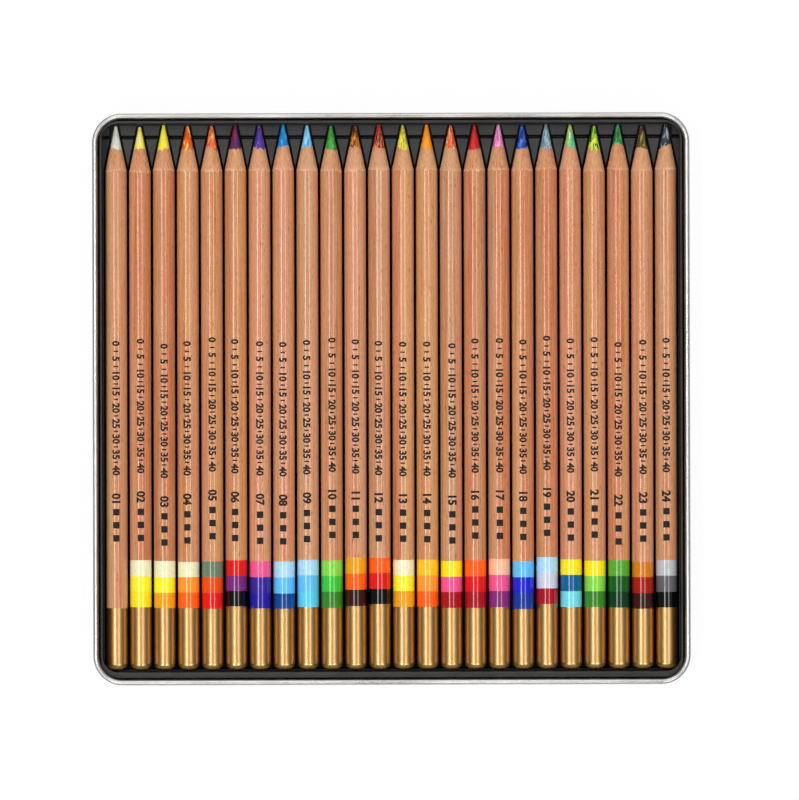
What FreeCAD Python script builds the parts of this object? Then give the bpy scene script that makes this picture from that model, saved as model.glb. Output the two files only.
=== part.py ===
import FreeCAD
import Part
import math
import os
from FreeCAD import Vector

# Flat tin of colored pencils, open, in millimetres.
# X runs along the row of pencils, +Y is the way the points face, +Z is up.
# The origin is on the underside, in the middle of the tin.
# The lid lies upturned under the base, where it is kept while the box is in use.

# Driving dimensions: pencils
pencil_count = 24
pencil_length = 175.5
pencil_diameter = 6.9
pencil_gap = 0.8
end_rounding = 2.8
core_diameter = 3.8
core_end_cover = 1.0
glue_line = 0.05
point_half_angle = 11.6
point_rounding = 0.5
# How much shorter each pencil was sharpened, from the first to the last
point_wear = (
    0.3, 0.6, 0.0, 0.2, 0.3, 0.1, 0.1, 0.0, 0.2, 0.4, 0.3, 0.0,
    0.2, 0.0, 0.3, 0.3, 0.2, 0.4, 0.0, 0.2, 0.6, 0.1, 0.6, 0.0,
)

# Driving dimensions: tray
tray_sheet = 0.45
tray_seat_gap = 0.05
pocket_clearance = 0.65
pocket_taper_room = 0.5
pencil_seat_gap = 0.1
side_land = 0.1
point_play = 0.15
end_play = 0.25
end_land = 0.2
side_wall_slope = 0.25
front_wall_slope = 0.1
rear_wall_slope = 0.3
lip_width = 0.55
front_lip_width = 0.73
rear_lip_width = 1.67
lip_drop = 3.0
recess_corner_room = 2.3
groove_width = 1.25
groove_depth = 2.9
groove_draft = 0.55
groove_from_wall = 3.6
foot_groove_width = 0.5
foot_groove_depth = 1.2
trough_length = 3.4
trough_depth = 3.2
trough_flat = 0.3
corner_hollow_width = 2.2

# Driving dimensions: tin base
tin_sheet = 0.3
base_height = 12.9
rim_corner = 9.3
bead_diameter = 1.6
bead_turn = 290.0
bottom_bend = 1.5
tray_play = 0.6
tray_corner_play = 1.5

# Driving dimensions: lid
lid_skirt = 5.8
lid_play = 0.15
lid_bend = 1.5

# Worked out: pencils
pencil_radius = pencil_diameter / 2
core_radius = core_diameter / 2
bore_radius = core_radius + glue_line
pitch = pencil_diameter + pencil_gap
outer_axis_x = (pencil_count - 1) * pitch / 2
point_slope = math.tan(math.radians(point_half_angle))

# Worked out: plan of the tray and the tin, with the middle of the tray at y = 0
pocket_radius = pencil_radius + pocket_clearance
recess_half_x = outer_axis_x + pocket_radius + side_land
recess_length = end_land + end_play + pencil_length + point_play
tray_half_x = recess_half_x + side_wall_slope + lip_width
tray_length = rear_lip_width + rear_wall_slope + recess_length + front_wall_slope + front_lip_width
tray_half_y = tray_length / 2
recess_front_y = tray_half_y - front_lip_width - front_wall_slope
recess_rear_y = recess_front_y - recess_length
wall_half_x = tray_half_x + tray_play
wall_half_y = tray_half_y + tray_play
rim_half_x = wall_half_x + bead_diameter
rim_half_y = wall_half_y + bead_diameter
wall_corner = rim_corner - bead_diameter
tray_corner = wall_corner - tray_corner_play
recess_corner = end_rounding + recess_corner_room
pencil_tip_y = recess_front_y - point_play
pencil_end_y = pencil_tip_y - pencil_length

# Worked out: heights
base_bottom = tin_sheet
base_floor = base_bottom + tin_sheet
rim_top = base_bottom + base_height
pocket_axis_z = base_floor + tray_seat_gap + tray_sheet + pocket_radius
pencil_axis_z = pocket_axis_z - pocket_radius + pencil_seat_gap + pencil_radius
plateau_z = pencil_axis_z
lip_top = rim_top - lip_drop
groove_floor = plateau_z - groove_depth
trough_floor = plateau_z - trough_depth
groove_near_y = recess_front_y - groove_from_wall
groove_far_y = groove_near_y - groove_width
above_tray = rim_top


def face_from(start, steps):
    """Closed face: a step is a point for a straight edge, or (through, point) for an arc."""
    edges = []
    here = start
    for step in steps:
        if isinstance(step, tuple):
            through, there = step
            edges.append(Part.Arc(here, through, there).toShape())
        else:
            there = step
            edges.append(Part.LineSegment(here, there).toShape())
        here = there
    edges.append(Part.LineSegment(here, start).toShape())
    return Part.Face(Part.Wire(edges))


def on_circle(center, radius, degrees):
    """Point on an upright circle in the XZ plane."""
    angle = math.radians(degrees)
    return center + Vector(radius * math.cos(angle), 0, radius * math.sin(angle))


def rounded_block(half_x, half_y, corner, bottom, top):
    """Upright block with rounded corners, in the middle of the plan."""
    block = Part.makeBox(2 * half_x, 2 * half_y, top - bottom, Vector(-half_x, -half_y, bottom))
    upright = [edge for edge in block.Edges if abs(edge.tangentAt(edge.FirstParameter).z) > 0.5]
    return block.makeFillet(corner, upright)


def joined(shapes):
    """One solid from touching or overlapping solids, without leftover seams."""
    return shapes[0].multiFuse(shapes[1:]).removeSplitter()


def swept_round(section, center_x, center_y):
    """Section in the XZ plane, X from the corner's centre, carried round a rounded rectangle."""
    pieces = []
    half_runs = (center_x, center_y, center_x, center_y)
    side_runs = (center_y, center_x, center_y, center_x)
    for quarter in range(4):
        turn = 90 * quarter
        side = section.extrude(Vector(0, 2 * side_runs[quarter], 0))
        side.translate(Vector(half_runs[quarter], -side_runs[quarter], 0))
        corner = section.revolve(Vector(0, 0, 0), Vector(0, 0, 1), 90)
        corner.translate(Vector(half_runs[quarter], side_runs[quarter], 0))
        for piece in (side, corner):
            piece.rotate(Vector(0, 0, 0), Vector(0, 0, 1), turn)
            pieces.append(piece)
    return pieces


def lathe(start, steps, x, z):
    """Solid of revolution about an axis along Y, from a profile with X as the radius."""
    solid = face_from(start, steps).revolve(Vector(0, 0, 0), Vector(0, 1, 0), 360)
    solid.translate(Vector(x, 0, z))
    return solid


def bent_bottom(outer, bend, bottom, sheet):
    """Bottom corner of a drawn pressing: outside arc going up, and inside arc coming back down."""
    center = Vector(outer - bend, 0, bottom + bend)
    outside = (on_circle(center, bend, -45), on_circle(center, bend, 0))
    inside = (on_circle(center, bend - sheet, -45), on_circle(center, bend - sheet, -90))
    return outside, inside, on_circle(center, bend - sheet, 0)


def make_lid():
    inner = rim_corner + lid_play
    outer = inner + tin_sheet
    edge_top = tin_sheet + lid_skirt
    outside, inside, inner_foot = bent_bottom(outer, lid_bend, 0, tin_sheet)
    start = Vector(outer - lid_bend, 0, 0)
    section = face_from(start, [
        outside,
        Vector(outer, 0, edge_top),
        Vector(inner, 0, edge_top),
        inner_foot,
        inside,
    ])
    center_x = rim_half_x - rim_corner
    center_y = rim_half_y - rim_corner
    panel_corner = outer - lid_bend
    panel = rounded_block(center_x + panel_corner, center_y + panel_corner, panel_corner, 0, tin_sheet)
    return joined([panel] + swept_round(section, center_x, center_y))


def make_tin_base():
    inner = wall_corner
    outer = inner + tin_sheet
    bead_radius = bead_diameter / 2
    bead_bore = bead_radius - tin_sheet
    bead_center = Vector(inner + bead_radius, 0, rim_top - bead_radius)
    bead_end = 180 - bead_turn
    bead_middle = 180 - bead_turn / 2
    outside, inside, inner_foot = bent_bottom(outer, bottom_bend, base_bottom, tin_sheet)
    start = Vector(outer - bottom_bend, 0, base_bottom)
    section = face_from(start, [
        outside,
        on_circle(bead_center, bead_bore, 180),
        (on_circle(bead_center, bead_bore, bead_middle), on_circle(bead_center, bead_bore, bead_end)),
        on_circle(bead_center, bead_radius, bead_end),
        (on_circle(bead_center, bead_radius, bead_middle), on_circle(bead_center, bead_radius, 180)),
        inner_foot,
        inside,
    ])
    center_x = rim_half_x - rim_corner
    center_y = rim_half_y - rim_corner
    floor_corner = outer - bottom_bend
    floor = rounded_block(
        center_x + floor_corner, center_y + floor_corner, floor_corner, base_bottom, base_floor)
    return joined([floor] + swept_round(section, center_x, center_y))


def pencil_x(index):
    return index * pitch - outer_axis_x


def along_x(points, half_x):
    """Solid with the same outline, given as (y, z) points, all the way across."""
    corners = [Vector(-half_x, y, z) for y, z in points]
    return face_from(corners[0], corners[1:]).extrude(Vector(2 * half_x, 0, 0))


def along_y(points, half_y):
    """Solid with the same outline, given as (x, z) points, from the rear to the front."""
    corners = [Vector(x, -half_y, z) for x, z in points]
    return face_from(corners[0], corners[1:]).extrude(Vector(0, 2 * half_y, 0))


def tray_recess(grow):
    """Open space over the tray's floor. Its walls lean outward up to the lip."""
    rise = lip_top - plateau_z

    def wall_at(z, foot, slope):
        return foot + slope * (z - plateau_z) / rise + grow * math.hypot(1, slope / rise)

    low = plateau_z - grow
    high = above_tray
    lengthwise = along_x([
        (-wall_at(low, -recess_rear_y, rear_wall_slope), low),
        (wall_at(low, recess_front_y, front_wall_slope), low),
        (wall_at(high, recess_front_y, front_wall_slope), high),
        (-wall_at(high, -recess_rear_y, rear_wall_slope), high),
    ], tray_half_x)
    side_low = wall_at(low, recess_half_x, side_wall_slope)
    side_high = wall_at(high, recess_half_x, side_wall_slope)
    crosswise = along_y([
        (-side_low, low), (side_low, low), (side_high, high), (-side_high, high),
    ], tray_half_y)
    return lengthwise.common(crosswise)


def tray_hollows(grow):
    """Two grooves, trough under the pencils' ends and corner hollows, sunk into the tray's floor."""
    draft = groove_draft / groove_depth
    draft_shift = grow * math.hypot(1, draft)
    narrowing = groove_draft * (groove_depth + grow) / groove_depth - draft_shift
    groove = along_x([
        (groove_far_y - draft_shift, plateau_z),
        (groove_far_y + narrowing, groove_floor - grow),
        (groove_near_y - narrowing, groove_floor - grow),
        (groove_near_y + draft_shift, plateau_z),
    ], recess_half_x + grow)
    fall = (trough_length - trough_flat) / trough_depth
    trough_y = recess_rear_y + trough_length + grow * math.hypot(1, fall)
    trough = along_x([
        (recess_rear_y - grow, plateau_z),
        (recess_rear_y - grow, trough_floor - grow),
        (trough_y - fall * (trough_depth + grow), trough_floor - grow),
        (trough_y, plateau_z),
    ], recess_half_x + grow)
    foot_groove = Part.makeBox(
        2 * (recess_half_x + grow),
        foot_groove_width + 2 * grow,
        foot_groove_depth + grow,
        Vector(-recess_half_x - grow, recess_front_y - foot_groove_width - grow,
               plateau_z - foot_groove_depth - grow))
    hollows = [groove, trough, foot_groove]
    for side in (-1, 1):
        middle = side * (outer_axis_x + corner_hollow_width / 2)
        half = corner_hollow_width / 2 + grow
        hollow = Part.makeBox(
            2 * half,
            recess_front_y - groove_far_y + 2 * grow,
            groove_depth + grow,
            Vector(middle - half, groove_far_y - grow, groove_floor - grow))
        hollows.append(hollow)
    return hollows


def pencil_pocket(index, grow):
    """Pencil-shaped hollow of the tray, a little larger than the pencil."""
    radius = pocket_radius + grow
    rounding = end_rounding + grow
    end_y = pencil_end_y - end_play - grow
    taper_y = pencil_tip_y - point_length() + pocket_taper_room
    front_y = recess_front_y + grow
    bend = math.sqrt(0.5) * rounding
    return lathe(Vector(0, end_y, 0), [
        Vector(radius - rounding, end_y, 0),
        (
            Vector(radius - rounding + bend, end_y + rounding - bend, 0),
            Vector(radius, end_y + rounding, 0),
        ),
        Vector(radius, taper_y, 0),
        Vector(radius - (front_y - taper_y) * point_slope, front_y, 0),
        Vector(0, front_y, 0),
    ], pencil_x(index), pocket_axis_z)


def tray_space(grow):
    """All that is open above the tray, grown outward to give the underside."""
    plan = rounded_block(
        tray_half_x - lip_width + grow,
        tray_half_y - (front_lip_width + rear_lip_width) / 2 + grow,
        recess_corner + grow,
        base_bottom,
        above_tray)
    plan.translate(Vector(0, (rear_lip_width - front_lip_width) / 2, 0))
    spaces = [tray_recess(grow)] + tray_hollows(grow)
    spaces += [pencil_pocket(index, grow) for index in range(pencil_count)]
    return spaces[0].multiFuse(spaces[1:]).common(plan)


def make_tray():
    outline = rounded_block(tray_half_x, tray_half_y, tray_corner, base_floor, lip_top)
    lip = rounded_block(tray_half_x, tray_half_y, tray_corner, lip_top - tray_sheet, lip_top)
    formed = tray_space(tray_sheet).common(outline)
    return lip.fuse(formed).cut(tray_space(0)).removeSplitter()


def point_length():
    """From the tip to the shoulder where the barrel's full width starts."""
    return tip_to_radius(pencil_radius)


def tip_to_radius(radius):
    """Distance behind the tip at which the point has this radius."""
    angle = math.radians(point_half_angle)
    round_radius = point_rounding * math.cos(angle)
    round_depth = point_rounding * (1 - math.sin(angle))
    return round_depth + (radius - round_radius) / point_slope


def tip_y(index):
    return pencil_tip_y - point_wear[index % len(point_wear)]


def make_barrel(index):
    tip = tip_y(index)
    bend = math.sqrt(0.5) * end_rounding
    bore_end = pencil_end_y + core_end_cover
    return lathe(Vector(0, pencil_end_y, 0), [
        Vector(pencil_radius - end_rounding, pencil_end_y, 0),
        (
            Vector(pencil_radius - end_rounding + bend, pencil_end_y + end_rounding - bend, 0),
            Vector(pencil_radius, pencil_end_y + end_rounding, 0),
        ),
        Vector(pencil_radius, tip - point_length(), 0),
        Vector(bore_radius, tip - tip_to_radius(bore_radius), 0),
        Vector(bore_radius, bore_end, 0),
        Vector(0, bore_end, 0),
    ], pencil_x(index), pencil_axis_z)


def make_core(index):
    tip = tip_y(index)
    angle = math.radians(point_half_angle)
    half_turn = (math.pi / 2 - angle) / 2
    ball = tip - point_rounding
    back = pencil_end_y + core_end_cover + glue_line
    return lathe(Vector(0, back, 0), [
        Vector(core_radius, back, 0),
        Vector(core_radius, tip - tip_to_radius(core_radius), 0),
        Vector(point_rounding * math.cos(angle), ball + point_rounding * math.sin(angle), 0),
        (
            Vector(point_rounding * math.sin(half_turn), ball + point_rounding * math.cos(half_turn), 0),
            Vector(0, tip, 0),
        ),
    ], pencil_x(index), pencil_axis_z)


def main():
    os.makedirs("parts", exist_ok=True)
    pieces = {"lid": make_lid(), "tin_base": make_tin_base(), "tray": make_tray()}
    for index in range(pencil_count):
        pieces[f"pencil_{index + 1:02d}_barrel"] = make_barrel(index)
        pieces[f"pencil_{index + 1:02d}_core"] = make_core(index)
    for name, shape in pieces.items():
        shape.exportStep(f"parts/{name}.step")
    print(f"rim {2 * rim_half_x:.2f} x {2 * rim_half_y:.2f}, height {rim_top:.2f}, pieces {len(pieces)}")


main()
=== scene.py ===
import math
import random

import bmesh
import bpy
from mathutils import Matrix, Vector, noise


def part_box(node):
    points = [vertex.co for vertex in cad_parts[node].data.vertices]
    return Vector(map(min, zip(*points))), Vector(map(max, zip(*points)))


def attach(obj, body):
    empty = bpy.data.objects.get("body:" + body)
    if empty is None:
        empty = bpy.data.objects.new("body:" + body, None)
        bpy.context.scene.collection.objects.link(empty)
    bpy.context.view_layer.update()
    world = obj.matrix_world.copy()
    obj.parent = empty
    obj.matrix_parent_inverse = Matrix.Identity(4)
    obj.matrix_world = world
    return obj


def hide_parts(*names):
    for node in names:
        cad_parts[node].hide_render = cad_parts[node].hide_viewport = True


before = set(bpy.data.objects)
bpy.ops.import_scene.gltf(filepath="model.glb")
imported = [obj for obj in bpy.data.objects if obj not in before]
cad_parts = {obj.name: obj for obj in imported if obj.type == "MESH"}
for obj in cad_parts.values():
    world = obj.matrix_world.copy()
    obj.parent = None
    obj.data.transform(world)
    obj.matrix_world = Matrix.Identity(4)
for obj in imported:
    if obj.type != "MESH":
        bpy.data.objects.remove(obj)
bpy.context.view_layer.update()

# Open flat tin of colored pencils on a white table, photographed from straight above.
# Metres, +X along the row of pencils, +Y the way the points face, +Z up.

MM = 0.001

# Paints of the bands, as 8-bit sRGB
PAINTS = {
    "cream": (240, 234, 190), "lemon": (250, 238, 48), "yellow": (252, 226, 30),
    "golden": (250, 192, 28), "amber": (236, 160, 24), "ochre": (208, 124, 20),
    "light_orange": (255, 150, 46), "orange": (255, 96, 12), "orange_red": (238, 74, 10),
    "red": (222, 24, 20), "crimson": (168, 14, 30), "peach": (255, 186, 150),
    "pink": (240, 86, 142), "plum": (118, 40, 118), "purple": (134, 40, 114),
    "indigo": (56, 34, 146), "violet": (36, 24, 152), "cobalt": (24, 36, 204),
    "navy": (20, 56, 154), "prussian": (10, 68, 142), "teal": (4, 96, 148),
    "sky_blue": (98, 190, 242), "pale_blue": (172, 216, 244), "turquoise": (92, 204, 240),
    "aqua": (112, 214, 226), "lavender": (202, 206, 222), "light_green": (136, 212, 72),
    "green": (62, 194, 56), "mid_green": (84, 166, 44), "leaf_green": (54, 130, 34),
    "dark_green": (12, 92, 26), "deep_green": (4, 56, 26), "grey_green": (106, 126, 102),
    "dark_brown": (56, 18, 12), "red_brown": (164, 24, 8), "light_grey": (186, 186, 190),
    "grey": (94, 94, 100), "black": (6, 6, 7),
}

# Colours mixed in the leads, as 8-bit sRGB
LEADS = {
    "chalk": (218, 217, 207), "ash": (196, 195, 187), "straw": (234, 230, 168),
    "lemon": (236, 228, 78), "yellow": (244, 222, 40), "olive": (156, 148, 58),
    "apricot": (255, 206, 104), "amber": (228, 136, 38), "tangerine": (252, 152, 20),
    "orange": (242, 114, 24), "rust": (206, 74, 20), "flame": (228, 74, 22),
    "red": (206, 36, 28), "crimson": (160, 24, 34), "raspberry": (208, 54, 80),
    "rose": (242, 176, 214), "pink": (228, 122, 188), "magenta": (206, 84, 150),
    "plum": (82, 40, 106), "dark_plum": (54, 24, 62), "indigo": (78, 58, 162),
    "violet": (56, 40, 132), "royal_blue": (24, 64, 170), "navy": (14, 36, 118),
    "cornflower": (76, 124, 208), "blue": (34, 156, 222), "dark_blue": (12, 112, 184),
    "sky_blue": (102, 192, 232), "pale_blue": (166, 216, 240), "slate": (92, 110, 130),
    "silver": (176, 186, 194), "cyan": (70, 168, 202), "turquoise": (58, 176, 172),
    "lime": (156, 208, 42), "green": (66, 164, 52), "leaf_green": (38, 116, 34),
    "dark_green": (38, 104, 30), "sea_green": (44, 136, 74), "deep_green": (18, 86, 48),
    "mint": (96, 184, 112), "umber": (106, 84, 50), "dark_brown": (66, 36, 20),
    "graphite": (54, 62, 76), "black": (24, 28, 36),
}

# Slats of cedar, as 8-bit sRGB
CEDARS = {
    "honey": (201, 145, 97), "gold": (197, 137, 86), "tan": (196, 136, 97), "rose": (202, 136, 103),
    "pale": (200, 144, 108), "dull": (189, 138, 101), "russet": (192, 118, 78), "brown": (187, 125, 84),
}

# Each pencil from left to right: its bands from the wood to the dipped end, the colours marbled in its
# core, its two slats, and how much further up than usual the dip and the bands reach, in millimetres
PENCIL_LOOKS = (
    ("", "chalk ash chalk", "honey tan", 0.0),
    ("cream lemon yellow", "lemon straw yellow", "tan russet", 0.3),
    ("cream lemon amber", "yellow lemon yellow", "brown russet", 0.0),
    ("cream light_orange orange", "orange rust apricot", "gold rose", 0.0),
    ("grey_green orange_red red", "raspberry orange apricot", "tan gold", -0.3),
    ("red plum black", "plum dark_plum crimson", "brown gold", 0.5),
    ("pink indigo violet", "indigo violet magenta", "rose pale", -0.2),
    ("pale_blue sky_blue prussian", "blue dark_blue sky_blue", "tan rose", -0.3),
    ("pale_blue sky_blue turquoise", "sky_blue pale_blue blue", "dull pale", 0.2),
    ("light_green green leaf_green", "green leaf_green mint", "tan brown", -0.1),
    ("amber orange dark_brown", "amber dark_brown orange", "rose pale", 0.5),
    ("orange red black", "flame dark_plum amber", "dull pale", 1.1),
    ("cream lemon amber", "lemon olive yellow", "russet honey", 0.2),
    ("golden light_orange orange", "tangerine amber tangerine", "gold honey", 0.2),
    ("yellow pink crimson", "raspberry apricot flame", "dull rose", -0.2),
    ("orange red crimson", "red crimson red", "russet brown", -0.2),
    ("peach pink purple", "pink rose magenta", "dull russet", 0.0),
    ("sky_blue cobalt navy", "royal_blue navy cornflower", "honey russet", -0.6),
    ("pale_blue lavender crimson", "slate silver cyan", "brown russet", 1.0),
    ("yellow teal aqua", "turquoise lime straw", "rose rose", 0.0),
    ("yellow light_green leaf_green", "lime lemon dark_green", "gold tan", 0.0),
    ("mid_green dark_green deep_green", "sea_green deep_green mint", "russet gold", -0.2),
    ("ochre red_brown dark_brown", "umber dark_brown olive", "rose tan", -0.6),
    ("light_grey grey black", "graphite black silver", "dull tan", -0.2),
)

# Colours of the other finishes, as linear RGBA
PALE_GRAIN = (0.66, 0.39, 0.21, 1)
PORE = (0.16, 0.05, 0.02, 1)
FRESH_CUT = (0.69, 0.41, 0.23, 1)
FRAYED_CUT = (0.74, 0.49, 0.31, 1)
DARK_GOLD = (0.46, 0.205, 0.014, 1)
LIGHT_GOLD = (0.60, 0.325, 0.036, 1)
# Painted light on the rounded end of the gold dip
GOLD_END_PAINTED_LIGHT = (0.94, 0.60, 0.18, 1)
INK = (0.011, 0.010, 0.010, 1)
WORN_INK = (0.10, 0.06, 0.04, 1)
DARK_TIN = (0.70, 0.69, 0.675, 1)
LIGHT_TIN = (0.78, 0.77, 0.755, 1)
DARK_PLASTIC = (0.010, 0.0095, 0.010, 1)
LIGHT_PLASTIC = (0.016, 0.015, 0.016, 1)
TABLE_WHITE = (0.95, 0.95, 0.95, 1)

# Tints that darken the colour under them, as linear RGBA
LATE_WOOD_TINT = (0.86, 0.60, 0.44, 1)
FIBRE_TINT = (0.80, 0.70, 0.62, 1)
GRIT_TINT = (0.65, 0.65, 0.65, 1)
# Painted shade on the tin: at its rounded corners and on the outer side of the bead
CORNER_PAINTED_SHADE = (0.62, 0.61, 0.61, 1)
FLANK_PAINTED_SHADE = (0.32, 0.31, 0.31, 1)

# Pencils
SIDES = 72
ANGLES = [2 * math.pi * side / SIDES for side in range(SIDES)]
POINT_ANGLE = math.radians(11.6)
POINT_SLOPE = math.tan(POINT_ANGLE)
TIP_ROUNDING = 0.5 * MM
END_ROUNDING = 2.8 * MM
END_DEPTH = 2.0 * MM
GLUE_LINE = 0.05 * MM
SLAT_JOINT = 0.25 * MM
DIP_LENGTH = 19.9 * MM
BAND_LENGTH = 5.05 * MM
BAND_SLACK = 0.2 * MM
DIP_COAT = 0.035 * MM
BAND_COAT = 0.018 * MM
COAT_EDGE = 0.06 * MM
LACQUER_SWELL = 0.012 * MM
SWELLS_PER_METRE = 40
LIP = 0.06 * MM
BORE_MOUTH = 3.0 * MM
LEAD_OVERLAP = 0.4 * MM
CUT_MARKS = 0.035 * MM
LEAD_WEAR = 0.05 * MM
TIP_WEAR_SHARE = 0.12
END_STEPS = 18
LACQUER_STEPS = 13
CONE_STEPS = 10
LEAD_STEPS = 12
TIP_STEPS = 6

# Uneven lines round a pencil: how far each wave strays, how fine it is, and its layer in the noise
SHOULDER_WAVES = ((0.55 * MM, 2.5, 0), (0.3 * MM, 9.0, 7), (0.3 * MM, 31.0, 11))
FRONT_WAVES = ((0.6 * MM, 3.0, 3), (0.5 * MM, 11.0, 5))

# Material slots of a barrel, with its bands after these
LACQUER, RAW_WOOD, DIP, FIRST_BAND = range(4)

# Imprint on the barrels: a plain scale with its marks in millimetres, the pencil's number and squares
INK_FILM = 0.012 * MM
INK_STRIP = 0.3 * MM
SCALE_START = 106.0 * MM
SCALE_HEIGHT = 2.5 * MM
LAST_MARK = 40
MARK_STEP = 5
TICK_WIDTH = 0.45 * MM
TICK_INSET = 0.5 * MM
NUMBER_START = 57.0 * MM
NUMBER_HEIGHT = 2.9 * MM
SQUARE = 2.1 * MM
SQUARE_COUNT = 3
SQUARE_GAP = 1.9 * MM
SQUARE_PITCH = 4.2 * MM
DIGIT_WEIGHT = 0.042

# Tin, lid and tray
SHEET = 0.3 * MM
RIM_CORNER = 9.3 * MM
BEAD_RADIUS = 0.8 * MM
BEAD_TURN = math.radians(290)
BEND = 1.5 * MM
CORNER_STRETCH = 5.0 * MM
TRAY_ROUNDING = 0.15 * MM
CORNER_STEPS = 24
BEAD_STEPS = 32
BEND_STEPS = 8

# Directions in a section of the tin's wall
OUTWARD = 0.0
INWARD = math.pi
DOWN = -math.pi / 2

# Camera, from the width that the picture takes in at the height of the pencils' axes
PICTURE_WIDTH_PX = 799
SEEN_PER_PX = 0.3222 * MM
CAMERA_HEIGHT = 1.8
CAMERA_SHIFT_X = 2.62 * MM
CAMERA_SHIFT_Y = -0.4 * MM
CAMERA_ROLL = math.radians(-0.15)

# Light: the room's glow by direction, then two strips and two panels as radiance
ROOM_GLOW = 0.06
OVERHEAD_GLOW = 0.2
END_GLOW = 0.75
FAR_END_GLOW = 0.35
STRIP_LEFT = 7.6
STRIP_RIGHT = 4.7
STRIP_TILT = math.radians(21.4)
STRIP_WIDTH = 0.45
STRIP_LENGTH = 7.0
STRIP_DISTANCE = 3.2
PANEL_GLOW = 10.0
PANEL_WIDTH = 1.2
PANEL_HEIGHT = 0.45
PANEL_X = 1.25
PANEL_Y = -1.75
PANEL_Z = 2.4

# Table
TABLE_HALF = 6.0
TABLE_DROP = 0.05 * MM
TABLE_GLOW = 0.92


def linear(color):
    """8-bit sRGB as linear RGBA."""
    channels = [value / 255 for value in color]
    curve = [c / 12.92 if c <= 0.04045 else ((c + 0.055) / 1.055) ** 2.4 for c in channels]
    return (*curve, 1.0)


def darker(color, factor):
    """Linear colour with this share of its light."""
    return (*[channel * factor for channel in color[:3]], 1.0)


# Materials

class Nodes:
    """The node tree of a material or a world, filled one node at a time."""

    def __init__(self, owner):
        owner.use_nodes = True
        self.tree = owner.node_tree

    def set(self, node, sockets):
        """Gives each socket a constant, or a link where the value is another node's output."""
        for name, value in sockets.items():
            if isinstance(value, bpy.types.NodeSocket):
                self.tree.links.new(value, node.inputs[name])
            else:
                node.inputs[name].default_value = value

    def add(self, kind, sockets, **settings):
        node = self.tree.nodes.new(kind)
        for name, value in settings.items():
            setattr(node, name, value)
        self.set(node, sockets)
        return node

    def math(self, operation, a, b=0.0):
        return self.add("ShaderNodeMath", {0: a, 1: b}, operation=operation).outputs[0]

    def split(self, vector):
        """The X, Y and Z of a vector."""
        return self.add("ShaderNodeSeparateXYZ", {"Vector": vector}).outputs


class Look(Nodes):
    """A Principled material."""

    def __init__(self, name, sockets):
        self.material = bpy.data.materials.new(name)
        super().__init__(self.material)
        self.surface = self.tree.nodes["Principled BSDF"]
        self.set(self.surface, sockets)

    def place(self, scale=(1, 1, 1), shift=(0, 0, 0), roll=0.0):
        """The piece's own coordinates, turned about its Y axis, then scaled and shifted."""
        own = self.add("ShaderNodeTexCoord", {}).outputs["Object"]
        turned = self.add("ShaderNodeMapping", {"Vector": own, "Rotation": (0, roll, 0)})
        scaled = self.add("ShaderNodeMapping", {
            "Vector": turned.outputs["Vector"], "Scale": scale, "Location": shift})
        return scaled.outputs["Vector"]

    def noise(self, where, detail=3.0, roughness=0.55, distortion=0.0):
        node = self.add("ShaderNodeTexNoise", {
            "Vector": where, "Scale": 1.0, "Detail": detail, "Roughness": roughness,
            "Distortion": distortion})
        return node.outputs["Fac"]

    def between(self, value, low, high, out_low=0.0, out_high=1.0):
        """The value carried from one range to another, and held at its ends."""
        node = self.add("ShaderNodeMapRange", {
            "Value": value, "From Min": low, "From Max": high, "To Min": out_low, "To Max": out_high})
        return node.outputs["Result"]

    def mix(self, factor, a, b, blend="MIX"):
        node = self.add("ShaderNodeMix", {0: factor, 6: a, 7: b}, data_type="RGBA", blend_type=blend)
        return node.outputs[2]

    def tint(self, factor, color, tint):
        """The colour, darkened by a tint to this degree."""
        return self.mix(factor, color, tint, "MULTIPLY")

    def bump(self, height, distance, strength):
        node = self.add("ShaderNodeBump", {
            "Height": height, "Distance": distance, "Strength": strength})
        return node.outputs["Normal"]

    def finish(self, sockets):
        self.set(self.surface, sockets)
        return self.material


def cedar_tone(look, pencil):
    """Colour of two glued slats with streaks and dark pores along the pencil, and their fine grain."""
    seed = pencil.seed
    roll = pencil.roll
    growth = look.noise(look.place((700, 9, 700), (seed, 3 * seed, 0), roll), distortion=0.6)
    grain = look.noise(look.place((2600, 45, 2600), (seed, seed, seed), roll), detail=2.0)
    fibre = look.noise(look.place((3000, 650, 3000), (seed, 2 * seed, 0), roll), detail=2.0)
    pores = look.noise(look.place((2300, 420, 2300), (0, 5 * seed, seed), roll), detail=1.0)
    across = look.split(look.place(roll=roll))["X"]
    first, second = [linear(CEDARS[name]) for name in pencil.slats]
    color = look.mix(look.between(across, -SLAT_JOINT, SLAT_JOINT), first, second)
    color = look.tint(look.between(growth, 0.50, 0.66, 0.0, 0.85), color, LATE_WOOD_TINT)
    color = look.mix(look.between(grain, 0.42, 0.72, 0.0, 0.5), color, PALE_GRAIN)
    color = look.tint(look.between(fibre, 0.38, 0.62, 0.0, 0.55), color, FIBRE_TINT)
    color = look.mix(look.between(pores, 0.66, 0.76, 0.0, 0.6), color, PORE)
    return color, grain


def lacquered_cedar(pencil):
    """Cedar under a clear gloss, through which the grain still shows a little."""
    look = Look(f"lacquered_cedar_{pencil.number}", {
        "Roughness": 0.5, "Specular IOR Level": 0.1,
        "Coat Weight": 1.0, "Coat Roughness": 0.10, "Coat IOR": 1.55,
        "Sheen Weight": 0.5, "Sheen Roughness": 0.4, "Sheen Tint": (1.0, 0.66, 0.42, 1)})
    color, grain = cedar_tone(look, pencil)
    normal = look.bump(grain, 0.02 * MM, 0.3)
    return look.finish({"Base Color": color, "Normal": normal, "Coat Normal": normal})


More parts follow.
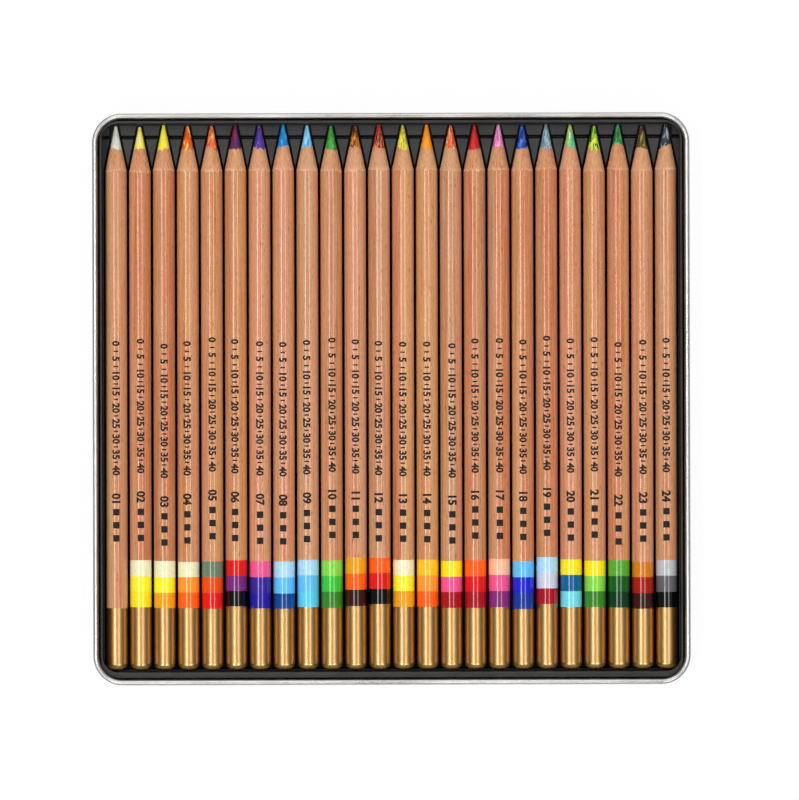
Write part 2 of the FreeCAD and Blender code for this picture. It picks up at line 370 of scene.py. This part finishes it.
def raw_cedar(pencil):
    """Sharpened wood: matt and slightly fuzzy, palest where the lacquer was cut."""
    look = Look(f"raw_cedar_{pencil.number}", {
        "Roughness": 0.78, "Specular IOR Level": 0.3,
        "Sheen Weight": 0.6, "Sheen Roughness": 0.4, "Sheen Tint": (1.0, 0.7, 0.48, 1)})
    color = cedar_tone(look, pencil)[0]
    fuzz = look.noise(look.place((2600, 500, 2600), (pencil.seed, 0, 0)))
    color = look.mix(look.between(fuzz, 0.35, 0.65, 0.0, 0.45), color, FRESH_CUT)
    along = look.split(look.place())["Y"]
    collar = look.between(along, pencil.shoulder - 0.3 * MM, pencil.shoulder + 1.1 * MM, 0.75, 0.0)
    frayed = look.math("MULTIPLY", collar, look.between(fuzz, 0.35, 0.6))
    color = look.mix(frayed, color, FRAYED_CUT)
    return look.finish({"Base Color": color, "Normal": look.bump(fuzz, 0.05 * MM, 0.6)})


def band_paint(name):
    """Gloss paint of a band, a little uneven where it was rolled on."""
    look = Look(f"band_{name}", {
        "Roughness": 0.4, "Specular IOR Level": 0.0,
        "Coat Weight": 1.0, "Coat Roughness": 0.05, "Coat IOR": 1.65})
    uneven = look.noise(look.place((500, 1500, 500)), detail=2.0)
    paint = linear(PAINTS[name])
    color = look.mix(look.between(uneven, 0.3, 0.7), darker(paint, 0.84), darker(paint, 0.95))
    return look.finish({"Base Color": color, "Normal": look.bump(uneven, 0.006 * MM, 0.2)})


def gold_dip():
    """Metallic lacquer with fine flakes, and painted light on the rounded end, which is paler and less
    metallic there.
    """
    look = Look("gold_dip", {"Coat Weight": 1.0, "Coat Roughness": 0.28, "Coat IOR": 2.15})
    flakes = look.noise(look.place((9000, 9000, 9000)), detail=1.0)
    clouds = look.noise(look.place((600, 160, 600)), detail=2.0)
    color = look.mix(look.between(flakes, 0.3, 0.7), DARK_GOLD, LIGHT_GOLD)
    along = look.split(look.place())["Y"]
    # Painted light: the rounded end is paler and less metallic, so that it looks lit
    painted_end_light = look.between(along, 0.25 * END_DEPTH, 0.85 * END_DEPTH, 1.0, 0.0)
    return look.finish({
        "Base Color": look.mix(painted_end_light, color, GOLD_END_PAINTED_LIGHT),
        "Metallic": look.between(painted_end_light, 0.0, 1.0, 1.0, 0.2),
        "Roughness": look.between(clouds, 0.3, 0.7, 0.37, 0.42),
        "Normal": look.bump(flakes, 0.006 * MM, 0.2)})


def marbled_lead(pencil):
    """Lead of three colours that run along it in streaks."""
    look = Look(f"marbled_lead_{pencil.number}", {"Roughness": 0.55, "Specular IOR Level": 0.35})
    seed = pencil.seed
    main, second, accent = [linear(LEADS[name]) for name in pencil.leads]
    streaks = look.noise(look.place((1700, 210, 1700), (seed, 0, 2 * seed)), 3.0, 0.6, 1.0)
    patches = look.noise(look.place((1250, 170, 1250), (2 * seed, 0, seed)), 2.0, 0.5, 0.8)
    grit = look.noise(look.place((5200, 5200, 5200)), detail=2.0)
    color = look.mix(look.between(streaks, 0.47, 0.55), main, second)
    color = look.mix(look.between(patches, 0.56, 0.62), color, accent)
    color = look.tint(look.between(grit, 0.35, 0.75, 0.0, 0.35), color, GRIT_TINT)
    return look.finish({"Base Color": color, "Normal": look.bump(grit, 0.05 * MM, 0.6)})


def stamped_ink():
    """Black foil, slightly worn."""
    look = Look("stamped_ink", {"Roughness": 0.5, "Specular IOR Level": 0.15})
    wear = look.noise(look.place((2500, 2500, 2500)))
    return look.finish({"Base Color": look.mix(look.between(wear, 0.62, 0.75, 0.0, 0.4), INK, WORN_INK)})


def tinplate():
    """Bare tinned steel with rolling lines and smears, rougher at the drawn corners, with painted shade
    at the corners and on the outer side of the bead.
    """
    look = Look("tinplate", {"Metallic": 1.0})
    lines = look.noise(look.place((40, 1500, 1500)), detail=1.0)
    smears = look.noise(look.place((45, 60, 60)), detail=4.0)
    color = look.mix(look.between(smears, 0.3, 0.7), DARK_TIN, LIGHT_TIN)
    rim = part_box("tin_base")[1]
    where = look.split(look.place())
    # Painted shade at the rounded corners, which are also made rougher there
    reach = []
    for axis, start in (("X", rim.x - RIM_CORNER), ("Y", rim.y - RIM_CORNER)):
        side = look.math("ABSOLUTE", where[axis])
        reach.append(look.between(side, start, start + CORNER_STRETCH))
    corner = look.math("MULTIPLY", reach[0], reach[1])
    color = look.tint(corner, color, CORNER_PAINTED_SHADE)
    # Painted shade on the outer side of the bead, where it faces sideways
    upward = look.split(look.add("ShaderNodeNewGeometry", {}).outputs["Normal"])["Z"]
    bead = look.between(where["Z"], rim.z - 2 * BEAD_RADIUS, rim.z - BEAD_RADIUS)
    painted_side_shade = look.math("MULTIPLY", bead, look.between(upward, 0.45, 0.85, 1.0, 0.0))
    satin = look.between(smears, 0.3, 0.75, 0.26, 0.36)
    return look.finish({
        "Base Color": look.tint(painted_side_shade, color, FLANK_PAINTED_SHADE),
        "Roughness": look.math("ADD", satin, look.between(corner, 0.0, 1.0, 0.0, 0.2)),
        "Normal": look.bump(lines, 0.002 * MM, 0.04)})


def black_plastic():
    """Thermoformed sheet with a fine satin grain."""
    look = Look("black_plastic", {"Specular IOR Level": 0.5})
    grain = look.noise(look.place((3800, 3800, 3800)), detail=2.0)
    bloom = look.noise(look.place((120, 120, 120)))
    return look.finish({
        "Base Color": look.mix(look.between(bloom, 0.3, 0.7), DARK_PLASTIC, LIGHT_PLASTIC),
        "Roughness": look.between(bloom, 0.3, 0.7, 0.36, 0.46),
        "Normal": look.bump(grain, 0.02 * MM, 0.4)})


# Meshes

def add_piece(name, body, origin, verts, faces, materials, hard_angle, zones=None):
    """Mesh in its place on a body, smooth but for edges sharper than an angle in degrees."""
    mesh = bpy.data.meshes.new(name)
    mesh.from_pydata(verts, [], faces)
    for material in materials:
        mesh.materials.append(material)
    if zones:
        mesh.polygons.foreach_set("material_index", zones)
    mesh.polygons.foreach_set("use_smooth", [True] * len(faces))
    turned = bmesh.new()
    turned.from_mesh(mesh)
    bmesh.ops.recalc_face_normals(turned, faces=turned.faces)
    turned.to_mesh(mesh)
    turned.free()
    mesh.set_sharp_from_angle(angle=math.radians(hard_angle))
    piece = bpy.data.objects.new(name, mesh)
    piece.location = origin
    bpy.context.scene.collection.objects.link(piece)
    bpy.context.view_layer.update()
    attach(piece, body)
    return piece


def stand_for(node):
    """Hides the CAD node that a new piece stands in for."""
    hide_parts(node)


def skin(rings):
    """Closed skin over rings of equal length: the faces from each ring to the next, then the two ends."""
    count = len(rings[0])
    last = (len(rings) - 1) * count
    verts = [vert for ring in rings for vert in ring]
    faces = []
    for start in range(0, last, count):
        for side in range(count):
            a = start + side
            b = start + (side + 1) % count
            faces.append((a, b, b + count, a + count))
    faces.append(tuple(range(count)))
    faces.append(tuple(range(last, last + count)))
    return verts, faces


class Pencil:
    """Sizes of one pencil, from its CAD box, and the choices that make it unlike the others."""

    def __init__(self, number, looks):
        self.number = f"{number:02d}"
        self.body = f"pencil_{self.number}"
        bands, leads, slats, dip_more = looks
        self.bands = bands.split()
        self.leads = leads.split()
        self.slats = slats.split()
        self.dip_end = DIP_LENGTH + dip_more * MM
        low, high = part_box(f"{self.body}_barrel")
        core_low, core_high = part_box(f"{self.body}_core")
        self.origin = Vector(((low.x + high.x) / 2, low.y, (low.z + high.z) / 2))
        self.radius = (high.x - low.x) / 2
        self.core_radius = (core_high.x - core_low.x) / 2
        self.bore_radius = self.core_radius + GLUE_LINE
        self.front = high.y - low.y
        self.tip = core_high.y - low.y
        self.core_back = core_low.y - low.y
        self.shoulder = self.front - (self.radius - self.bore_radius) / POINT_SLOPE
        draw = random.Random(number)
        self.seed = draw.uniform(1, 40)
        self.roll = draw.uniform(-0.5, 0.5)
        self.lean = draw.uniform(0, 2 * math.pi)
        self.slant = draw.uniform(0.15, 0.9) * MM
        self.print_roll = draw.uniform(-0.09, 0.09)
        self.print_slip = draw.uniform(-1.2, 1.2) * MM

    def point_radius(self, along):
        return self.bore_radius + (self.front - along) * POINT_SLOPE

    def ragged(self, angle, size, fineness, layer):
        """Uneven line round the pencil that closes on itself."""
        where = Vector((math.cos(angle) * fineness, math.sin(angle) * fineness, self.seed + layer))
        return size * noise.noise(where)

    def shoulder_at(self, angle):
        """Where the lacquer was cut away."""
        return self.shoulder + sum(self.ragged(angle, *wave) for wave in SHOULDER_WAVES)

    def front_at(self, angle):
        """Where the wood ends on the lead, a little on the slant."""
        slope = self.slant * math.cos(angle - self.lean)
        return self.front + slope + sum(self.ragged(angle, *wave) for wave in FRONT_WAVES)


def ring_of(radius, along):
    """Ring about the pencil's axis, from functions of the angle or constants. Angle 0 is the top."""
    points = []
    for angle in ANGLES:
        r = radius(angle) if callable(radius) else radius
        y = along(angle) if callable(along) else along
        points.append((r * math.sin(angle), y, r * math.cos(angle)))
    return points


def make_barrel(pencil, materials):
    """Barrel with its dipped end, bands, lacquer, sharpened cone and bore."""
    radius = pencil.radius
    rings = []
    zones = []

    def add_ring(zone, ring_radius, along):
        """One more ring, with the finish from there to the next."""
        rings.append(ring_of(ring_radius, along))
        zones.append(zone)

    for step in range(END_STEPS + 1):
        turn = math.pi / 2 * step / END_STEPS
        end_radius = radius - END_ROUNDING + (END_ROUNDING + DIP_COAT) * math.sin(turn)
        add_ring(DIP, end_radius, END_DEPTH - END_DEPTH * math.cos(turn))
    edge = pencil.dip_end
    add_ring(DIP, radius + DIP_COAT, edge - COAT_EDGE)
    draw = random.Random(pencil.body)
    for band in reversed(range(len(pencil.bands))):
        add_ring(FIRST_BAND + band, radius + BAND_COAT, edge)
        edge += BAND_LENGTH + draw.uniform(-BAND_SLACK, BAND_SLACK)
        add_ring(FIRST_BAND + band, radius + BAND_COAT, edge - COAT_EDGE)
    add_ring(LACQUER, radius, edge)
    for step in range(1, LACQUER_STEPS):
        y = edge + (pencil.shoulder - edge) * step / LACQUER_STEPS

        def swollen_radius(a, layer=SWELLS_PER_METRE * y):
            return radius + pencil.ragged(a, LACQUER_SWELL, fineness=1.0, layer=layer)

        add_ring(LACQUER, swollen_radius, y)
    add_ring(RAW_WOOD, radius, pencil.shoulder_at)
    for step in range(1, CONE_STEPS + 1):

        def along_cone(a, share=step / CONE_STEPS):
            return pencil.shoulder_at(a) * (1 - share) + pencil.front_at(a) * share

        def cone_radius(a, share=step / CONE_STEPS):
            cut = pencil.ragged(a, CUT_MARKS, fineness=8.0, layer=20 + 3 * share)
            return min(radius, pencil.point_radius(along_cone(a)) + cut)

        add_ring(RAW_WOOD, cone_radius, along_cone)

    def lip_radius(a):
        return pencil.point_radius(pencil.front_at(a)) - LIP

    def along_lip(a):
        return pencil.front_at(a) - LIP

    add_ring(RAW_WOOD, lip_radius, along_lip)
    add_ring(RAW_WOOD, pencil.bore_radius, pencil.front - BORE_MOUTH)
    add_ring(RAW_WOOD, pencil.bore_radius, pencil.core_back - GLUE_LINE)
    verts, faces = skin(rings)
    face_zones = [zone for zone in zones[:-1] for side in range(SIDES)] + [zones[0], zones[-1]]
    piece = add_piece(
        f"{pencil.body}_turned_barrel", pencil.body, pencil.origin, verts, faces, materials,
        hard_angle=8, zones=face_zones)
    stand_for(f"{pencil.body}_barrel")


def make_core(pencil, material):
    """Lead that fills the bore and comes out at the point, blunt and slightly uneven."""
    rings = [
        ring_of(pencil.core_radius, pencil.core_back),
        ring_of(pencil.core_radius, pencil.front - BORE_MOUTH),
    ]
    ball = pencil.tip - TIP_ROUNDING
    cone_end = ball + TIP_ROUNDING * math.sin(POINT_ANGLE)
    for step in range(LEAD_STEPS + 1):

        def along_cone(a, share=step / LEAD_STEPS):
            return (pencil.front_at(a) - LEAD_OVERLAP) * (1 - share) + cone_end * share

        def cone_radius(a, share=step / LEAD_STEPS):
            wear = pencil.ragged(a, LEAD_WEAR, fineness=5.0, layer=50 + 4 * share)
            return pencil.point_radius(along_cone(a)) - LIP / 2 + wear * min(1.0, 4 * share)

        rings.append(ring_of(cone_radius, along_cone))
    for step in range(1, TIP_STEPS + 1):
        turn = POINT_ANGLE + (math.pi / 2 - POINT_ANGLE) * step / (TIP_STEPS + 1)

        def tip_radius(a, blunt=TIP_ROUNDING * math.cos(turn)):
            return blunt * (1 + pencil.ragged(a, TIP_WEAR_SHARE, fineness=2.0, layer=80))

        rings.append(ring_of(tip_radius, ball + TIP_ROUNDING * math.sin(turn)))
    verts, faces = skin(rings)
    piece = add_piece(
        f"{pencil.body}_lead", pencil.body, pencil.origin, verts, faces, [material], hard_angle=40)
    stand_for(f"{pencil.body}_core")


def box_on(sheet, u, v, length, height):
    """Flat box of ink, u along the print and v up it."""
    middle = Matrix.Translation((u + length / 2, v + height / 2, 0))
    bmesh.ops.create_cube(sheet, size=1, matrix=middle @ Matrix.Diagonal((length, height, INK_FILM, 1)))


def digits_on(sheet, body, u, v, height):
    """Upright bold digits of this height, and the length that they take."""
    curve = bpy.data.curves.new("digits", "FONT")
    curve.body = body
    curve.offset = DIGIT_WEIGHT
    curve.extrude = 0.01
    curve.resolution_u = 3
    text = bpy.data.objects.new("digits", curve)
    mesh = bpy.data.meshes.new_from_object(text)
    corners = [vert.co for vert in mesh.vertices]
    low = Vector([min(c[k] for c in corners) for k in range(3)])
    high = Vector([max(c[k] for c in corners) for k in range(3)])
    scale = height / (high.y - low.y)
    flat = Matrix.Diagonal((scale, scale, INK_FILM / (high.z - low.z), 1))
    mesh.transform(Matrix.Translation((u, v, -INK_FILM / 2)) @ flat @ Matrix.Translation(-low))
    sheet.from_mesh(mesh)
    bpy.data.meshes.remove(mesh)
    bpy.data.objects.remove(text)
    bpy.data.curves.remove(curve)
    return scale * (high.x - low.x)


def flat_print(number):
    """Flat print: the scale with a tick after each mark but the last, the number and the squares."""
    sheet = bmesh.new()
    foot = -SCALE_HEIGHT / 2
    tick_height = SCALE_HEIGHT - 2 * TICK_INSET
    for mark in range(0, LAST_MARK + 1, MARK_STEP):
        length = digits_on(sheet, str(mark), mark * MM, foot, SCALE_HEIGHT)
        if mark < LAST_MARK:
            middle = (mark + MARK_STEP) * MM / 2 + (mark * MM + length) / 2
            box_on(sheet, middle - TICK_WIDTH / 2, foot + TICK_INSET, TICK_WIDTH, tick_height)
    start = SCALE_START - NUMBER_START
    length = digits_on(sheet, number, start, -NUMBER_HEIGHT / 2, NUMBER_HEIGHT)
    for place in range(SQUARE_COUNT):
        u = start + length + SQUARE_GAP + SQUARE_PITCH * place
        box_on(sheet, u, -SQUARE / 2, SQUARE, SQUARE)
    return sheet


def make_imprint(pencil, material):
    """Print along the top of the barrel, read towards the dipped end, cut in strips and bent round it."""
    sheet = flat_print(pencil.number)
    cut = -NUMBER_HEIGHT / 2
    while cut < NUMBER_HEIGHT / 2:
        cut += INK_STRIP
        geometry = sheet.verts[:] + sheet.edges[:] + sheet.faces[:]
        bmesh.ops.bisect_plane(sheet, geom=geometry, plane_co=(0, cut, 0), plane_no=(0, 1, 0))
    start = SCALE_START + pencil.print_slip
    for vert in sheet.verts:
        u, v, w = vert.co
        angle = v / pencil.radius + pencil.print_roll
        r = pencil.radius + INK_FILM / 2 + w
        vert.co = (r * math.sin(angle), start - u, r * math.cos(angle))
    sheet.verts.index_update()
    verts = [vert.co[:] for vert in sheet.verts]
    faces = [tuple(vert.index for vert in face.verts) for face in sheet.faces]
    sheet.free()
    add_piece(
        f"{pencil.body}_imprint", pencil.body, pencil.origin, verts, faces, [material], hard_angle=30)


def arc(center_r, center_z, radius, start, end, steps):
    """Points (r, z) on an arc, from one direction to another."""
    points = []
    for step in range(steps + 1):
        angle = start + (end - start) * step / steps
        points.append((center_r + radius * math.cos(angle), center_z + radius * math.sin(angle)))
    return points


def swept_round(profile, center_x, center_y):
    """Rings of a profile of (r, z) points, carried round a rectangle with rounded corners."""
    signs = ((1, 1), (-1, 1), (-1, -1), (1, -1))
    rings = []
    for r, z in profile:
        ring = []
        for corner, (sign_x, sign_y) in enumerate(signs):
            for step in range(CORNER_STEPS + 1):
                angle = math.pi / 2 * (corner + step / CORNER_STEPS)
                x = sign_x * center_x + r * math.cos(angle)
                y = sign_y * center_y + r * math.sin(angle)
                ring.append((x, y, z))
        rings.append(ring)
    return rings


def make_pressing(node, profile, center_x, center_y, material):
    """Drawn sheet with a flat bottom, from the section of its wall."""
    verts, faces = skin(swept_round(profile, center_x, center_y))
    piece = add_piece(
        f"{node}_pressing", node, (0, 0, 0), verts, faces, [material], hard_angle=40)
    stand_for(node)


def make_tin_base(material):
    """Straight wall with a bent bottom edge, its top rolled outward into a bead."""
    low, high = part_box("tin_base")
    bend_r = RIM_CORNER - 2 * BEAD_RADIUS + SHEET - BEND
    bend_z = low.z + BEND
    bead_r = RIM_CORNER - BEAD_RADIUS
    bead_z = high.z - BEAD_RADIUS
    bead_end = INWARD - BEAD_TURN
    profile = arc(bend_r, bend_z, BEND, DOWN, OUTWARD, BEND_STEPS)
    profile += arc(bead_r, bead_z, BEAD_RADIUS - SHEET, INWARD, bead_end, BEAD_STEPS)
    profile += arc(bead_r, bead_z, BEAD_RADIUS, bead_end, INWARD, BEAD_STEPS)
    profile += arc(bend_r, bend_z, BEND - SHEET, OUTWARD, DOWN, BEND_STEPS)
    make_pressing("tin_base", profile, high.x - RIM_CORNER, high.y - RIM_CORNER, material)


def make_lid(material):
    """Shallow lid, upturned under the base, with a smooth edge."""
    low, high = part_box("lid")
    base_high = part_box("tin_base")[1]
    center_x = base_high.x - RIM_CORNER
    center_y = base_high.y - RIM_CORNER
    outer = high.x - center_x
    bend_r = outer - BEND
    bend_z = low.z + BEND
    edge = SHEET / 2
    profile = arc(bend_r, bend_z, BEND, DOWN, OUTWARD, BEND_STEPS)
    profile += arc(outer - edge, high.z - edge, edge, OUTWARD, INWARD, BEND_STEPS)
    profile += arc(bend_r, bend_z, BEND - SHEET, OUTWARD, DOWN, BEND_STEPS)
    make_pressing("lid", profile, center_x, center_y, material)


def dress_tray(material):
    """Moulded tray with slightly rounded edges."""
    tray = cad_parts["tray"]
    tray.data.materials.clear()
    tray.data.materials.append(material)
    rounding = tray.modifiers.new("rounding", "BEVEL")
    rounding.width = TRAY_ROUNDING
    rounding.segments = 2
    rounding.limit_method = "ANGLE"
    rounding.angle_limit = math.radians(35)


def make_pencils():
    """All pencils, each with its own wood and lead."""
    dip = gold_dip()
    ink = stamped_ink()
    paints = {name: band_paint(name) for name in PAINTS}
    for number, looks in enumerate(PENCIL_LOOKS, 1):
        pencil = Pencil(number, looks)
        bands = [paints[name] for name in pencil.bands]
        make_barrel(pencil, [lacquered_cedar(pencil), raw_cedar(pencil), dip] + bands)
        make_core(pencil, marbled_lead(pencil))
        make_imprint(pencil, ink)


# Studio

def make_table():
    """White table that stays white to the eye and to shiny pieces, and keeps the shadow."""
    half = TABLE_HALF
    corners = [(-half, -half, 0), (half, -half, 0), (half, half, 0), (-half, half, 0)]
    mesh = bpy.data.meshes.new("table")
    mesh.from_pydata(corners, [], [(0, 1, 2, 3)])
    table = bpy.data.objects.new("table", mesh)
    table.location.z = -TABLE_DROP
    bpy.context.scene.collection.objects.link(table)
    material = bpy.data.materials.new("white_table")
    nodes = Nodes(material)
    nodes.tree.nodes.clear()
    rays = nodes.add("ShaderNodeLightPath", {}).outputs
    seen = nodes.math("ADD", rays["Is Camera Ray"], rays["Is Glossy Ray"])
    seen = nodes.math("ADD", seen, rays["Is Transmission Ray"])
    paper = nodes.add("ShaderNodeBsdfDiffuse", {"Color": TABLE_WHITE})
    glow = nodes.add("ShaderNodeEmission", {})
    mixed = nodes.add("ShaderNodeMixShader", {
        0: nodes.math("MULTIPLY", seen, TABLE_GLOW), 1: paper.outputs[0], 2: glow.outputs[0]})
    nodes.add("ShaderNodeOutputMaterial", {"Surface": mixed.outputs[0]})
    mesh.materials.append(material)


def make_world():
    """Soft room, brightest at both ends of the pencils and dim beyond the sides of the tin."""
    world = bpy.data.worlds.new("studio")
    bpy.context.scene.world = world
    nodes = Nodes(world)
    nodes.tree.nodes.clear()
    direction = nodes.split(nodes.add("ShaderNodeTexCoord", {}).outputs["Generated"])
    up = nodes.math("MAXIMUM", direction["Z"], 0.0)
    ends = nodes.math("ABSOLUTE", direction["Y"])
    strength = nodes.math("MULTIPLY", nodes.math("MULTIPLY", up, up), OVERHEAD_GLOW)
    strength = nodes.math("ADD", strength, nodes.math("MULTIPLY", ends, END_GLOW))
    strength = nodes.math("ADD", strength, nodes.math("MULTIPLY", direction["Y"], FAR_END_GLOW))
    strength = nodes.math("ADD", strength, ROOM_GLOW)
    room = nodes.add("ShaderNodeBackground", {"Strength": strength})
    white = nodes.add("ShaderNodeBackground", {"Strength": 1.0})
    seen = nodes.add("ShaderNodeLightPath", {}).outputs["Is Camera Ray"]
    mixed = nodes.add("ShaderNodeMixShader", {0: seen, 1: room.outputs[0], 2: white.outputs[0]})
    nodes.add("ShaderNodeOutputWorld", {"Surface": mixed.outputs[0]})


def add_light(name, width, length, radiance, location, rotation):
    """Rectangle of light."""
    light = bpy.data.lights.new(name, "AREA")
    light.shape = "RECTANGLE"
    light.size = width
    light.size_y = length
    light.energy = radiance * math.pi * width * length
    lamp = bpy.data.objects.new(name, light)
    lamp.location = location
    lamp.rotation_euler = rotation
    bpy.context.scene.collection.objects.link(lamp)


def add_strip(name, tilt, radiance):
    """Long strip over the pencils and along them, tilted from straight overhead towards +X."""
    location = (STRIP_DISTANCE * math.sin(tilt), 0, STRIP_DISTANCE * math.cos(tilt))
    add_light(name, STRIP_WIDTH, STRIP_LENGTH, radiance, location, (0, tilt, 0))


def add_panel(name, x):
    """Wide panel that faces the tin, above and before the dipped ends."""
    location = Vector((x, PANEL_Y, PANEL_Z))
    rotation = location.to_track_quat("Z", "Y").to_euler()
    add_light(name, PANEL_WIDTH, PANEL_HEIGHT, PANEL_GLOW, location, rotation)


def make_camera():
    """Camera straight above, with the tin framed as in the photograph."""
    low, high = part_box("pencil_01_barrel")
    axis_z = (low.z + high.z) / 2
    camera = bpy.data.cameras.new("camera")
    camera.sensor_fit = "HORIZONTAL"
    camera.lens = camera.sensor_width * CAMERA_HEIGHT / (PICTURE_WIDTH_PX * SEEN_PER_PX)
    camera.clip_end = 100
    eye = bpy.data.objects.new("camera", camera)
    eye.location = (CAMERA_SHIFT_X, CAMERA_SHIFT_Y, axis_z + CAMERA_HEIGHT)
    eye.rotation_euler = (0, 0, CAMERA_ROLL)
    bpy.context.scene.collection.objects.link(eye)
    bpy.context.scene.camera = eye


bpy.context.scene.view_settings.view_transform = "Standard"
make_camera()
make_world()
make_table()
add_strip("strip_left", -STRIP_TILT, STRIP_LEFT)
add_strip("strip_right", STRIP_TILT, STRIP_RIGHT)
add_panel("panel_left", -PANEL_X)
add_panel("panel_right", PANEL_X)
metal = tinplate()
make_tin_base(metal)
make_lid(metal)
dress_tray(black_plastic())
make_pencils()
